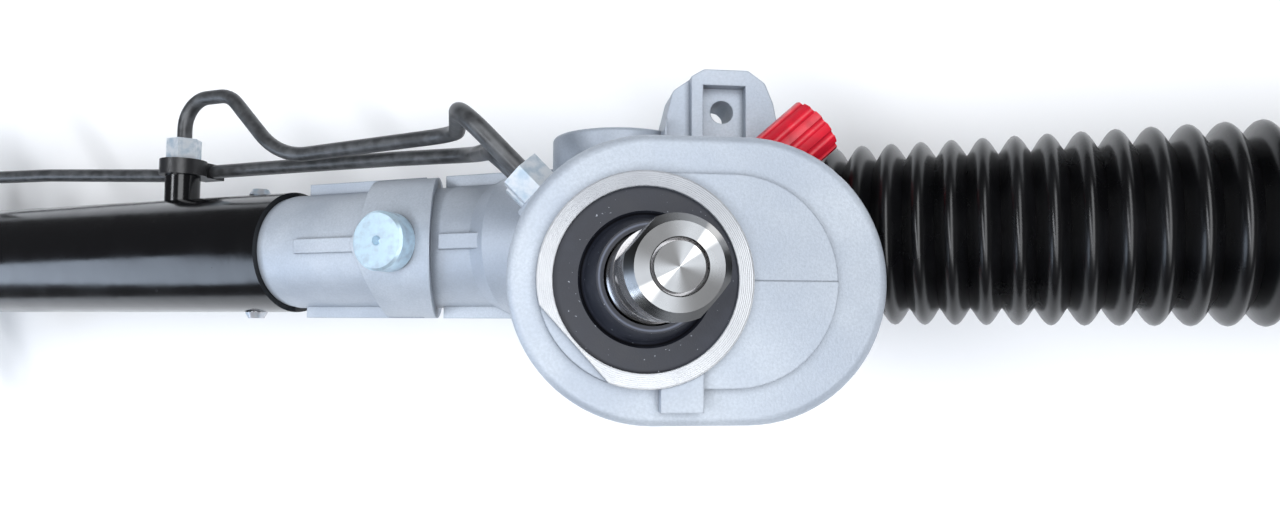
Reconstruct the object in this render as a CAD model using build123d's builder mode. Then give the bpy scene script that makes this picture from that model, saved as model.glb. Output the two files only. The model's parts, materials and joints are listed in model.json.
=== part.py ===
from build123d import *

import os
from math import acos, cos, degrees, pi, radians, sin, sqrt, tan

os.makedirs("parts", exist_ok=True)

# Hydraulic rack and pinion steering gear, in millimetres.
# X runs along the rack towards the pinion end, Z leans up to the input shaft side.
# The origin is the centre of the tapped hole in the housing's mounting lug.

# Rack and travel
rack_dia = 25.0
travel = 72.0
teeth_count = 30
stop_gap = 1.0

# Rack and pinion mesh
normal_module = 1.9
pinion_teeth = 7
helix_angle = 34.0
pressure_angle = 20.0
profile_shift = 0.5
backlash = 0.16
tilt = 28.0
pinion_offset = 14.9
mesh_half = 18.0

# Mounting lug, measured across, up and along from the foot of the pinion axis
lug_across = 28.0
lug_up = 51.8
lug_floor = 24.0
lug_under = 8.0
lug_pocket = 4.0
lug_bore = 6.8

# Pinion housing casting
barrel_dia = 41.0
barrel_bore = 30.0
neck_dia = 46.0
housing_end = 66.0
spigot_length = 32.0
collar_rise = 3.5
rail_width = 8.0
rail_reach = 24.0
crown_rib = 4.8
crown_rise = 1.6
tower_dia = 51.2
tower_foot_dia = 38.0
tower_floor = -42.5
tower_shoulder = 17.0
ring_height = 73.0
valve_bore = 38.0
cover_bore = 43.8
cover_depth = 5.5
ring_chord = 22.6
ring_chord_turn = 222.0
ring_chord_depth = 2.2
flange_drop = 12.2
flange_thick = 7.0
flange_radius = 35.2
flange_spacing = 23.1
flange_shift = 2.5
flange_lift = 0.4
flange_round = 2.4
plateau_height = 2.0
plateau_radius = 25.7
plateau_reach = 21.4
plateau_step = 0.4
step_width = 10.2
step_length = 11.0
step_rise = 2.4
gusset_foot = 20.0
gusset_drop = 26.0
gusset_width = 4.0
drum_dia = 42.0
drum_height = 32.5
yoke_dia = 32.0
plug_dia = 35.0
plug_depth = 9.0
port_boss_dia = 17.0
port_depth = 10.0
port_drill = 4.0
hose_bore = 12.0
hose_port_drop = 11.6

# Ports on the valve tower: angle round it, height on it, and reach of the boss
pipe_port_turn = 135.0
pipe_port_reach = 35.0
upper_port_height = 41.0
lower_port_height = 27.0
inlet_turn = 41.5
inlet_reach = 46.0
outlet_turn = -28.0
outlet_reach = 34.0

# Cylinder
tube_dia = 44.0
tube_wall = 2.0
tube_right = -128.0
tube_left = -430.0
near_port = -187.0
far_port = -357.0
boss_dia = 12.6
boss_top = 38.0
stake_station = -147.0
stake_dia = 6.0
piston_width = 16.0
rod_seal_dia = 36.0
rod_seal_width = 7.0
carrier_length = 14.0
end_bush_length = 58.0
end_ring_width = 3.0
plug_station = -69.0
plug_disc_dia = 19.0
plug_disc_height = 7.0
plug_post_dia = 13.0
plug_sink = 5.0
plug_dimple = 3.2

# Transfer pipes
pipe_dia = 5.4
nut_flats = 11.0
nut_height = 8.0
nut_shank = 8.0
nut_grip = 5.0
clip_floor = 31.7
clip_height = 6.0
clip_depth = 10.6
clip_wall = 2.2
clip_width = 10.0
clip_end_gap = 7.0
pipe_arch = 62.0
arch_width = 23.0
wide_bend = 30.0
middle_bend = 22.0
tight_bend = 11.5
sweep_bend = 90.0
upper_dip = 36.0
upper_dip_station = -138.7
upper_run = 38.9
upper_run_station = -60.0
upper_corner_reach = 66.0
lower_dip = 38.5
lower_dip_gap = 40.0
lower_run = 37.8
lower_run_station = -274.0
lower_bay = 33.6
lower_bay_station = -92.0
lower_rise = 32.4
lower_rise_station = -56.0
lower_corner_reach = 54.0
pipe_back = 4.0

# Input shaft and valve
shaft_dia = 20.0
shaft_end = 121.0
journal_dia = 20.8
journal_over_cover = 1.5
shaft_flats = 18.0
flat_length = 23.0
relief_width = 1.5
relief_depth = 0.4
bar_bore = 10.6
bar_dia = 9.4
bar_waist_dia = 6.4
bar_head = 21.0
sleeve_dia = 36.8
sleeve_start = 33.0
sleeve_gap = 1.0
seal_height = 7.0
retainer_thick = 1.4
retainer_bore = 31.0
cover_rise = 10.0
cover_hole = 10.9
cover_neck_width = 1.6
cover_crease = 15.5

# Bearings and yoke
lower_bearing_bore = 10.0
lower_bearing_dia = 26.0
lower_bearing_width = 8.0
upper_bearing_bore = 20.0
upper_bearing_dia = 28.0
upper_bearing_width = 10.0
lower_bearing_top = -24.0
cap_seat_dia = 32.0
cap_rim_dia = 35.0
cap_web = 2.5
hex_key = 17.0
hex_depth = 4.0
liner_thick = 1.2
yoke_floor = 3.0
yoke_top = 20.0
spring_wire = 2.8
spring_dia = 17.0
spring_floor = 16.5
spring_top = 27.5
spring_turns = 2.5
rack_bush_length = 14.0

# Inner ball joints and tie rods
ball_dia = 25.0
seat_thick = 1.0
socket_dia = 35.0
socket_shoulder = 21.0
socket_mouth = 17.0
socket_flats = 32.0
neck_dia_rod = 12.5
neck_length = 28.0
rod_dia = 16.0
rod_length = 230.0
thread_dia = 14.0
thread_pitch_dia = 13.0
thread_length = 75.0
jam_nut_flats = 22.0
jam_nut_height = 10.0

# Boots
boot_crest = 50.6
boot_valley = 41.8
boot_wall = 1.5
boot_pitch = 7.9
boot_folds = 22
cuff_length = 14.0
cuff_wall = 2.2
tail_length = 12.0
clamp_width = 7.0
clamp_thick = 0.9

# Left mounting bush and bracket
bush_station = -387.0
bush_width = 30.0
bush_dia = 58.0
strap_thick = 4.0
strap_width = 26.0
foot_level = -24.0
foot_span = 124.0
foot_edge = 16.0
foot_hole = 11.0

# Transit caps in the hose ports
cap_dia = 16.4
cap_length = 18.0
cap_flutes = 12
cap_stub = 8.0

# Running fits and seats
running = 0.05
seat = 0.03
clear = 0.4
free = 0.3

# Directions and reference points
lean = radians(tilt)
shaft_up = Vector(sin(lean), 0, cos(lean))
across = Vector(cos(lean), 0, -sin(lean))
upward = Vector(0, 1, 0)
foot_from_lug = -(across * lug_across + upward * lug_up + shaft_up * lug_floor)
pinion_foot = foot_from_lug
crossing = pinion_foot + upward * pinion_offset
collar_dia = barrel_dia + 2 * collar_rise
flange_base = ring_height - flange_drop
cover_floor = ring_height - cover_depth
cover_neck = ring_height + cover_rise
seal_top = cover_floor - 2 * seat - retainer_thick
sleeve_end = seal_top - seal_height - sleeve_gap
foot_spacing = foot_span - 2 * foot_edge
hose_port_height = flange_base - hose_port_drop
upper_port = (pipe_port_turn, upper_port_height, pipe_port_reach)
lower_port = (pipe_port_turn, lower_port_height, pipe_port_reach)
inlet_port = (inlet_turn, hose_port_height, inlet_reach)
outlet_port = (outlet_turn, hose_port_height, outlet_reach)

rack_side = Plane(origin=crossing, x_dir=(1, 0, 0), z_dir=(0, 0, 1))
seen_from_shaft = Plane(origin=crossing, x_dir=across, z_dir=shaft_up)
rack_line = Axis(crossing, (1, 0, 0))
pinion_side = Plane(origin=pinion_foot, x_dir=shaft_up, z_dir=-across)
pinion_line = Axis(pinion_foot, shaft_up)


def on_rack(station):
    """Plane square to the rack, its X along the row's Y and its Y along Z."""
    return Plane(origin=crossing + Vector(station, 0, 0), x_dir=(0, 1, 0), z_dir=(1, 0, 0))


def on_pinion(height):
    """Plane square to the pinion axis, its X along the rack as seen down the shaft."""
    return Plane(origin=pinion_foot + shaft_up * height, x_dir=across, z_dir=shaft_up)


def beside_rack(station, depth=0.0):
    """Plane square to the row's Y through the rack axis, for bosses on the tube and the yoke."""
    return Plane(origin=crossing + Vector(station, 0, depth), x_dir=(1, 0, 0), z_dir=(0, 1, 0))


def over_rack(station):
    """Plane square to the row's Z through the rack axis."""
    return Plane(origin=crossing + Vector(station, 0, 0), x_dir=(1, 0, 0), z_dir=(0, 0, 1))


def around_tower(port):
    """Direction of a port on the valve tower."""
    angle = radians(port[0])
    return across * cos(angle) + upward * sin(angle)


def on_port(port, reach):
    """Plane square to a port's axis, at a distance from the pinion axis."""
    centre = pinion_foot + shaft_up * port[1] + around_tower(port) * reach
    return Plane(origin=centre, x_dir=shaft_up, z_dir=around_tower(port))


def turned(plane, *stations):
    """Half outline of a turned piece, as stations along the axis and radii."""
    with BuildSketch(plane) as outline:
        with BuildLine():
            Polyline(*stations, close=True)
        make_face()
    return outline.sketch


def band(plane, start, end, inner, outer):
    """Half outline of a plain ring."""
    return turned(plane, (start, inner), (end, inner), (end, outer), (start, outer))


def disc(plane, diameter):
    """Round profile on a plane."""
    with BuildSketch(plane) as profile:
        Circle(diameter / 2)
    return profile.sketch


def finish(piece, node):
    """Label a finished piece and write it under its node's name."""
    piece.label = node
    export_step(piece, f"parts/{node}.step")


# Mesh geometry: the rack's teeth stand at an angle that the helix and the tilt leave over
helix = radians(helix_angle)
rack_tooth_angle = lean - helix
pitch_radius = normal_module * pinion_teeth / (2 * cos(helix))
tip_radius = pitch_radius + normal_module * (0.9 + profile_shift)
root_radius = pitch_radius - normal_module * (1.25 - profile_shift)
flank_angle = radians(pressure_angle)
face_angle_tan = tan(flank_angle) / cos(helix)
base_radius = pitch_radius / sqrt(1 + face_angle_tan**2)
reference_drop = pinion_offset - pitch_radius - normal_module * profile_shift
tip_drop = reference_drop + normal_module


def involute(angle_tan):
    """Involute function of an angle given by its tangent."""
    return angle_tan - acos(1 / sqrt(1 + angle_tan**2))


def tooth_half_angle(radius):
    """Half the angle that a pinion tooth fills at a radius on its flank."""
    at_pitch = (pi / 2 + 2 * profile_shift * tan(flank_angle)) / pinion_teeth
    thinning = backlash / (4 * pitch_radius * cos(helix))
    here = sqrt(max((radius / base_radius) ** 2 - 1, 0))
    return at_pitch - thinning + involute(face_angle_tan) - involute(here)


def polar(radius, angle):
    """Point at a radius and an angle from straight up."""
    return (radius * sin(angle), radius * cos(angle))


# Rack bar: round bar with inclined teeth cut across one side
bar_right = housing_end + travel + stop_gap
bar_left = tube_left - travel - stop_gap
toothed_half = teeth_count * pi * normal_module / cos(rack_tooth_angle) / 2
space_half = pi * normal_module / 4 + backlash / 4
tooth_plane = Plane(
    origin=crossing - upward * reference_drop,
    x_dir=(cos(rack_tooth_angle), 0, -sin(rack_tooth_angle)),
    z_dir=(sin(rack_tooth_angle), 0, cos(rack_tooth_angle)),
)

with BuildSketch(Plane.XY) as tooth_space:
    with BuildLine():
        Polyline(
            (-space_half - 2 * normal_module * tan(flank_angle), -2 * normal_module),
            (space_half + 2 * normal_module * tan(flank_angle), -2 * normal_module),
            (space_half - 1.25 * normal_module * tan(flank_angle), 1.25 * normal_module),
            (-space_half + 1.25 * normal_module * tan(flank_angle), 1.25 * normal_module),
            close=True,
        )
    make_face()

with BuildPart() as rack_bar:
    revolve(
        turned(
            rack_side,
            (bar_left, 0),
            (bar_left, rack_dia / 2 - 1),
            (bar_left + 1, rack_dia / 2),
            (bar_right - 1, rack_dia / 2),
            (bar_right, rack_dia / 2 - 1),
            (bar_right, 0),
        ),
        axis=rack_line,
    )
    with BuildSketch(beside_rack(0).offset(-tip_drop)):
        Rectangle(2 * toothed_half, rack_dia + 2)
    extrude(amount=-rack_dia, mode=Mode.SUBTRACT)
    with BuildSketch(tooth_plane):
        with GridLocations(pi * normal_module, 0, teeth_count, 1):
            add(tooth_space.sketch)
    extrude(amount=rack_dia, both=True, mode=Mode.SUBTRACT)
    for station in (bar_left, bar_right):
        inward = 1 if station == bar_left else -1
        with BuildSketch(on_rack(station)):
            Circle(thread_dia / 2)
        extrude(amount=inward * socket_mouth, mode=Mode.SUBTRACT)
finish(rack_bar.part, "rack_bar")

# Piston, pressed and snapped on to the plain end of the bar, and its sealing ring
tube_bore = tube_dia - 2 * tube_wall
piston_station = (near_port + far_port) / 2
ring_groove = 3.0
with BuildPart() as piston:
    revolve(
        turned(
            rack_side,
            (piston_station - piston_width / 2, rack_dia / 2 + seat),
            (piston_station - piston_width / 2, tube_bore / 2 - 2),
            (piston_station - piston_width / 2 + 1.5, tube_bore / 2 - clear),
            (piston_station - ring_groove / 2, tube_bore / 2 - clear),
            (piston_station - ring_groove / 2, tube_bore / 2 - 3),
            (piston_station + ring_groove / 2, tube_bore / 2 - 3),
            (piston_station + ring_groove / 2, tube_bore / 2 - clear),
            (piston_station + piston_width / 2 - 1.5, tube_bore / 2 - clear),
            (piston_station + piston_width / 2, tube_bore / 2 - 2),
            (piston_station + piston_width / 2, rack_dia / 2 + seat),
        ),
        axis=rack_line,
    )
finish(piston.part, "piston")

with BuildPart() as piston_ring:
    revolve(
        band(
            rack_side,
            piston_station - ring_groove / 2 + seat,
            piston_station + ring_groove / 2 - seat,
            tube_bore / 2 - 3 + seat,
            tube_bore / 2 - running,
        ),
        axis=rack_line,
    )
finish(piston_ring.part, "piston_ring")

# Pinion: seven involute teeth on a helix, journals at both ends, cup for the input shaft
pinion_shoulder = mesh_half + 1.0
cup_floor = 31.0
cup_top = 40.0
cup_radius = 8.6
head_radius = 12.0
bar_foot = 6.0
bar_taper = 4.0
bar_groove = 5.0
pitch_angle = 2 * pi / pinion_teeth
flank_radii = [base_radius + (tip_radius - base_radius) * share for share in (0, 0.3, 0.65, 1)]
twist_pitch = 2 * pi * pitch_radius / tan(helix)

with BuildPart() as pinion:
    with BuildSketch(on_pinion(-mesh_half)) as tooth_ring:
        with BuildLine():
            for tooth in range(pinion_teeth):
                middle = (tooth + 0.5) * pitch_angle + mesh_half * 2 * pi / twist_pitch
                rising = [polar(r, middle - tooth_half_angle(r)) for r in flank_radii]
                falling = [polar(r, middle + tooth_half_angle(r)) for r in reversed(flank_radii)]
                foot_angle = tooth_half_angle(base_radius)
                next_foot = middle + pitch_angle - foot_angle
                Line(polar(root_radius, middle - foot_angle), rising[0])
                Spline(*rising)
                ThreePointArc(rising[-1], polar(tip_radius, middle), falling[0])
                Spline(*falling)
                Line(falling[-1], polar(root_radius, middle + foot_angle))
                ThreePointArc(
                    polar(root_radius, middle + foot_angle),
                    polar(root_radius, middle + pitch_angle / 2),
                    polar(root_radius, next_foot),
                )
        make_face()
    foot_point = pinion_foot - shaft_up * mesh_half
    spine = Edge.make_line(foot_point, pinion_foot + shaft_up * mesh_half)
    guide = Edge.make_helix(
        pitch=twist_pitch,
        height=2 * mesh_half,
        radius=tip_radius,
        center=foot_point,
        normal=shaft_up,
    )
    sweep(path=spine, binormal=guide)
    revolve(
        turned(
            pinion_side,
            (-40, 0),
            (-40, lower_bearing_bore / 2 - 1),
            (-39, lower_bearing_bore / 2 - seat),
            (lower_bearing_top, lower_bearing_bore / 2 - seat),
            (lower_bearing_top, root_radius),
            (-mesh_half, root_radius),
            (mesh_half, root_radius),
            (mesh_half, upper_bearing_bore / 2 - running),
            (cup_floor - 1, upper_bearing_bore / 2 - running),
            (cup_floor - 1, head_radius),
            (cup_top, head_radius),
            (cup_top, 0),
        ),
        axis=pinion_line,
    )
    revolve(
        turned(
            pinion_side,
            (bar_foot, 0),
            (bar_foot, bar_dia / 2 + running),
            (cup_floor, bar_dia / 2 + running),
            (cup_floor, cup_radius),
            (cup_top + 1, cup_radius),
            (cup_top + 1, 0),
        ),
        axis=pinion_line,
        mode=Mode.SUBTRACT,
    )
finish(pinion.part, "pinion")

# Nut on the pinion's lower end
with BuildPart() as pinion_nut:
    with BuildSketch(on_pinion(-39)):
        RegularPolygon(hex_key / 2, 6, major_radius=False)
        Circle(lower_bearing_bore / 2, mode=Mode.SUBTRACT)
    extrude(amount=39 + lower_bearing_top - lower_bearing_width - seat)
finish(pinion_nut.part, "pinion_nut")

# Lower ball bearing: outer race, balls and the inner race that turns with the pinion
bearing_mid = lower_bearing_top - lower_bearing_width / 2
race_ball = 4.6
ball_circle = (lower_bearing_bore + lower_bearing_dia) / 4
race_depth = race_ball / 2 + running


def race_outline(inner, outer):
    """Half outline of a race, with the ball track cut from it."""
    with BuildSketch(pinion_side) as outline:
        with Locations((bearing_mid, (inner + outer) / 2)):
            Rectangle(lower_bearing_width, outer - inner)
        with Locations((bearing_mid, ball_circle)):
            Circle(race_depth, mode=Mode.SUBTRACT)
    return outline.sketch


with BuildPart() as lower_bearing_outer:
    revolve(race_outline(ball_circle + 1.2, lower_bearing_dia / 2), axis=pinion_line)
finish(lower_bearing_outer.part, "lower_bearing_outer")

with BuildPart() as lower_bearing_inner:
    revolve(race_outline(lower_bearing_bore / 2, ball_circle - 1.2), axis=pinion_line)
finish(lower_bearing_inner.part, "lower_bearing_inner")

with BuildPart(on_pinion(bearing_mid)) as lower_bearing_balls:
    with PolarLocations(ball_circle, 8):
        Sphere(race_ball / 2)
finish(lower_bearing_balls.part, "lower_bearing_balls")

# Upper needle bearing, a drawn cup round the pinion's journal
upper_bearing_floor = mesh_half + 1.5
with BuildPart() as upper_bearing_cup:
    revolve(
        band(
            pinion_side,
            upper_bearing_floor,
            upper_bearing_floor + upper_bearing_width,
            upper_bearing_bore / 2,
            upper_bearing_dia / 2 - seat,
        ),
        axis=pinion_line,
    )
finish(upper_bearing_cup.part, "upper_bearing")

# Valve sleeve pinned to the pinion, with three oil grooves and four sealing rings
ring_pitch = (sleeve_end - sleeve_start - 3) / 3
sleeve_ring_stations = [sleeve_start + 1.5 + step * ring_pitch for step in range(4)]
sleeve_ring_width = 1.8
with BuildPart() as valve_sleeve:
    revolve(
        turned(
            pinion_side,
            (sleeve_start, head_radius + seat),
            (cup_top + seat, head_radius + seat),
            (cup_top + seat, journal_dia / 2 + running + seat),
            (sleeve_end, journal_dia / 2 + running + seat),
            (sleeve_end, sleeve_dia / 2),
            (sleeve_start, sleeve_dia / 2),
        ),
        axis=pinion_line,
    )
    for station in sleeve_ring_stations:
        revolve(
            band(
                pinion_side,
                station - sleeve_ring_width / 2,
                station + sleeve_ring_width / 2,
                sleeve_dia / 2 - 1.6,
                sleeve_dia / 2 + 1,
            ),
            axis=pinion_line,
            mode=Mode.SUBTRACT,
        )
    for station in sleeve_ring_stations[:-1]:
        groove_middle = station + ring_pitch / 2
        revolve(
            band(
                pinion_side, groove_middle - 1.5, groove_middle + 1.5, sleeve_dia / 2 - 1, sleeve_dia / 2 + 1
            ),
            axis=pinion_line,
            mode=Mode.SUBTRACT,
        )
finish(valve_sleeve.part, "valve_sleeve")

with BuildPart() as sleeve_rings:
    for station in sleeve_ring_stations:
        revolve(
            band(
                pinion_side,
                station - sleeve_ring_width / 2 + seat,
                station + sleeve_ring_width / 2 - seat,
                sleeve_dia / 2 - 1.6 + seat,
                valve_bore / 2 - running,
            ),
            axis=pinion_line,
        )
finish(sleeve_rings.part, "sleeve_rings")

# Input shaft: hollow, with a round land, a relief, two flats, a notch for the pinch bolt and a chamfer
chamfer_run = 2.3
chamfer_rise = 1.7
flat_turn = 50.0
notch_turn = 222.0
notch_gap = 5.0
notch_radius = 5.0
notch_depth = 2.2
journal_end = cover_neck + journal_over_cover
flats_start = shaft_end - flat_length


def beside_shaft(turn, height):
    """Plane square to a radius of the shaft, at the axis."""
    angle = radians(turn)
    facing = across * cos(angle) + upward * sin(angle)
    return Plane(origin=pinion_foot + shaft_up * height, x_dir=shaft_up, z_dir=facing)


with BuildPart() as input_shaft:
    revolve(
        turned(
            pinion_side,
            (cup_floor + clear, bar_bore / 2),
            (cup_floor + clear, cup_radius - running),
            (cup_top + clear, cup_radius - running),
            (cup_top + clear, journal_dia / 2),
            (journal_end, journal_dia / 2),
            (journal_end + journal_dia / 2 - shaft_dia / 2, shaft_dia / 2),
            (flats_start - relief_width, shaft_dia / 2),
            (flats_start - relief_width, shaft_dia / 2 - relief_depth),
            (flats_start, shaft_dia / 2 - relief_depth),
            (flats_start, shaft_dia / 2),
            (shaft_end - chamfer_run, shaft_dia / 2),
            (shaft_end, shaft_dia / 2 - chamfer_rise),
            (shaft_end, bar_bore / 2),
        ),
        axis=pinion_line,
    )
    for turn in (flat_turn + 90, flat_turn - 90):
        with BuildSketch(beside_shaft(turn, shaft_end).offset(shaft_flats / 2)):
            Rectangle(2 * flat_length, shaft_dia)
        extrude(amount=shaft_dia, mode=Mode.SUBTRACT)
    notch_centre = beside_shaft(notch_turn, flats_start + notch_gap).offset(
        shaft_dia / 2 - notch_depth + notch_radius
    )
    with BuildSketch(Plane(origin=notch_centre.origin, x_dir=shaft_up, z_dir=notch_centre.y_dir)):
        Circle(notch_radius)
    extrude(amount=shaft_dia, both=True, mode=Mode.SUBTRACT)
finish(input_shaft.part, "input_shaft")

# Torsion bar: fixed in the shaft's end, thin in the middle, and running in the pinion below
with BuildPart() as torsion_bar:
    revolve(
        turned(
            pinion_side,
            (bar_foot + 1, 0),
            (bar_foot + 1, bar_dia / 2),
            (cup_floor - bar_taper, bar_dia / 2),
            (cup_floor, bar_waist_dia / 2),
            (shaft_end - bar_groove - bar_head - bar_taper, bar_waist_dia / 2),
            (shaft_end - bar_groove - bar_head, bar_bore / 2 - seat),
            (shaft_end - bar_groove, bar_bore / 2 - seat),
            (shaft_end - bar_groove, bar_dia / 2),
            (shaft_end, bar_dia / 2),
            (shaft_end, 0),
        ),
        axis=pinion_line,
    )
finish(torsion_bar.part, "torsion_bar")

# Collar band of the barrel: a plan shape seen down the shaft, kept inside a round
with BuildPart() as collar_band:
    with BuildSketch(seen_from_shaft):
        with BuildLine():
            Polyline(
                (-86.5, 0),
                (-83.2, 8),
                (-81.3, collar_dia / 2 + 2),
                (-59.2, collar_dia / 2 + 2),
                (-59.2, -collar_dia / 2 - 2),
                (-75.1, -collar_dia / 2 - 2),
                close=True,
            )
        make_face()
    extrude(amount=2 * collar_dia, both=True)
    revolve(band(rack_side, -140, -20, 0, collar_dia / 2), axis=rack_line, mode=Mode.INTERSECT)

# Rails of the barrel, cut square to the shaft's direction as the die drew them
with BuildPart() as rail_ends:
    with BuildSketch(seen_from_shaft):
        with Locations((-107.5, 0)):
            Rectangle(44, 60, align=(Align.MIN, Align.CENTER))
        with Locations((-56.5, 0)):
            Rectangle(56, 60, align=(Align.MIN, Align.CENTER))
    extrude(amount=2 * collar_dia, both=True)

with BuildPart() as barrel_rails:
    with BuildSketch(on_rack(tube_right + 4)):
        Rectangle(2 * rail_reach, rail_width)
        Rectangle(crown_rib, barrel_dia + 2 * crown_rise)
    extrude(amount=-tube_right - 4)
    add(rail_ends.part, mode=Mode.INTERSECT)

# Lug with its pocketed face
with BuildPart() as mounting_lug:
    with BuildSketch(on_pinion(lug_under)):
        with BuildLine():
            Polyline(
                (lug_across - 17.5, lug_up - 33),
                (lug_across - 17.5, lug_up - 6),
                (lug_across - 14.5, lug_up + 6),
                (lug_across - 9.5, lug_up + 9.5),
                (lug_across - 6, lug_up + 11.6),
                (lug_across + 7, lug_up + 11.6),
                (lug_across + 12, lug_up + 8),
                (lug_across + 14.5, lug_up + 2),
                (lug_across + 16.2, lug_up - 7),
                (lug_across + 13, lug_up - 15),
                (lug_across + 7, lug_up - 33),
                close=True,
            )
        make_face()
    extrude(amount=lug_floor + lug_pocket - lug_under)
    fillet(mounting_lug.edges().filter_by(lambda e: abs(e.tangent_at(0).dot(shaft_up)) > 0.99), 2.2)
    with BuildSketch(on_pinion(lug_floor)):
        with Locations((lug_across, lug_up - 6)):
            Rectangle(12.5, 26)
    extrude(amount=lug_pocket + 1, mode=Mode.SUBTRACT)
    with BuildSketch(on_pinion(lug_floor)):
        with Locations((lug_across - 13.2, lug_up)):
            Rectangle(7, 40)
    extrude(amount=lug_pocket + 1, mode=Mode.SUBTRACT)

# Pinion housing: one die casting with the rack barrel, valve tower, flange, yoke drum and lug
spigot_start = tube_right - spigot_length
with BuildPart() as pinion_housing:
    revolve(
        turned(
            rack_side,
            (spigot_start, 0),
            (spigot_start, tube_bore / 2 - 1),
            (spigot_start + 1, tube_bore / 2 - seat),
            (tube_right + seat, tube_bore / 2 - seat),
            (tube_right + 3, barrel_dia / 2),
            (-42, barrel_dia / 2),
            (-36, neck_dia / 2),
            (34, neck_dia / 2),
            (38, barrel_dia / 2),
            (housing_end - cuff_length - 2, barrel_dia / 2),
            (housing_end - cuff_length - 2, barrel_dia / 2 - 1.5),
            (housing_end - 2, barrel_dia / 2 - 1.5),
            (housing_end, barrel_dia / 2 - 2.5),
            (housing_end, 0),
        ),
        axis=rack_line,
    )
    add(collar_band.part)
    add(barrel_rails.part)
    revolve(
        turned(
            pinion_side,
            (tower_floor, 0),
            (tower_floor, tower_foot_dia / 2 - 1.5),
            (tower_floor + 1.5, tower_foot_dia / 2),
            (tower_shoulder - 7, tower_foot_dia / 2),
            (tower_shoulder, tower_dia / 2),
            (ring_height, tower_dia / 2),
            (ring_height, 0),
        ),
        axis=pinion_line,
    )
    with BuildSketch(beside_rack(0)):
        Circle(drum_dia / 2)
    extrude(amount=drum_height)
    drum_rim = pinion_housing.edges().filter_by(GeomType.CIRCLE).sort_by(Axis.Y)[-1]
    fillet(drum_rim, 1.2)
    add(mounting_lug.part)
    for port in (upper_port, lower_port, inlet_port, outlet_port):
        extrude(disc(on_port(port, 0), port_boss_dia), amount=port[2])
    with BuildSketch(on_pinion(flange_base)):
        with Locations((flange_shift + flange_spacing / 2, flange_lift)):
            SlotCenterToCenter(flange_spacing, 2 * flange_radius)
    extrude(amount=flange_thick)
    flange_rims = (
        pinion_housing.edges()
        .filter_by(lambda e: (e.center() - pinion_foot).dot(shaft_up) > flange_base - 0.1)
        .filter_by(lambda e: (e.center() - pinion_foot).dot(shaft_up) < flange_base + flange_thick + 0.1)
        .filter_by(lambda e: abs(e.tangent_at(0.5).dot(shaft_up)) < 0.01)
        .filter_by(lambda e: e.length > 50)
        .filter_by(lambda e: (e.position_at(0.5) - pinion_foot - shaft_up * flange_base).length > 30)
    )
    fillet(flange_rims, flange_round)
    plateau_floor = flange_base + flange_thick
    with BuildSketch(on_pinion(plateau_floor)):
        with Locations((plateau_reach / 2, 0)):
            SlotCenterToCenter(plateau_reach, 2 * plateau_radius)
    extrude(amount=plateau_height)
    with BuildSketch(on_pinion(plateau_floor)):
        with Locations((plateau_reach / 2, 0)):
            SlotCenterToCenter(plateau_reach, 2 * plateau_radius)
            Rectangle(
                4 * flange_radius, 2 * flange_radius, align=(Align.CENTER, Align.MIN), mode=Mode.SUBTRACT
            )
    extrude(amount=plateau_height + plateau_step)
    with BuildSketch(on_pinion(plateau_floor)):
        with Locations((tower_dia / 6, -tower_dia / 2)):
            Rectangle(step_width, step_length)
    extrude(amount=plateau_height + step_rise)
    for rib_place in (-tower_dia / 8, tower_dia / 5):
        with BuildSketch(
            Plane(
                origin=pinion_foot + upward * rib_place + shaft_up * flange_base,
                x_dir=across,
                z_dir=-upward,
            )
        ):
            with BuildLine():
                Polyline(
                    (gusset_foot, 0),
                    (flange_shift + flange_spacing + gusset_drop, 0),
                    (gusset_foot, -gusset_drop),
                    close=True,
                )
            make_face()
        extrude(amount=gusset_width / 2, both=True)
    # chord cut beside the tower's machined face
    chord_angle = radians(ring_chord_turn)
    chord_out = across * cos(chord_angle) + upward * sin(chord_angle)
    chord_plane = Plane(
        origin=pinion_foot + shaft_up * ring_height + chord_out * ring_chord,
        x_dir=chord_out.cross(shaft_up),
        z_dir=shaft_up,
    )
    with BuildSketch(chord_plane):
        Rectangle(2 * tower_dia, tower_dia, align=(Align.CENTER, Align.MIN))
    extrude(amount=-ring_chord_depth, mode=Mode.SUBTRACT)
    # rack bore and the bush seat at the boot end
    revolve(
        turned(
            rack_side,
            (spigot_start - 1, 0),
            (spigot_start - 1, barrel_bore / 2),
            (housing_end - 18, barrel_bore / 2),
            (housing_end - 18, barrel_bore / 2 + 1.5),
            (housing_end + 1, barrel_bore / 2 + 1.5),
            (housing_end + 1, 0),
        ),
        axis=rack_line,
        mode=Mode.SUBTRACT,
    )
    # yoke bore and the plug's wider seat
    extrude(disc(beside_rack(0), yoke_dia), amount=drum_height + 1, mode=Mode.SUBTRACT)
    extrude(
        disc(beside_rack(0).offset(drum_height - plug_depth), plug_dia),
        amount=plug_depth + 1,
        mode=Mode.SUBTRACT,
    )
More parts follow.
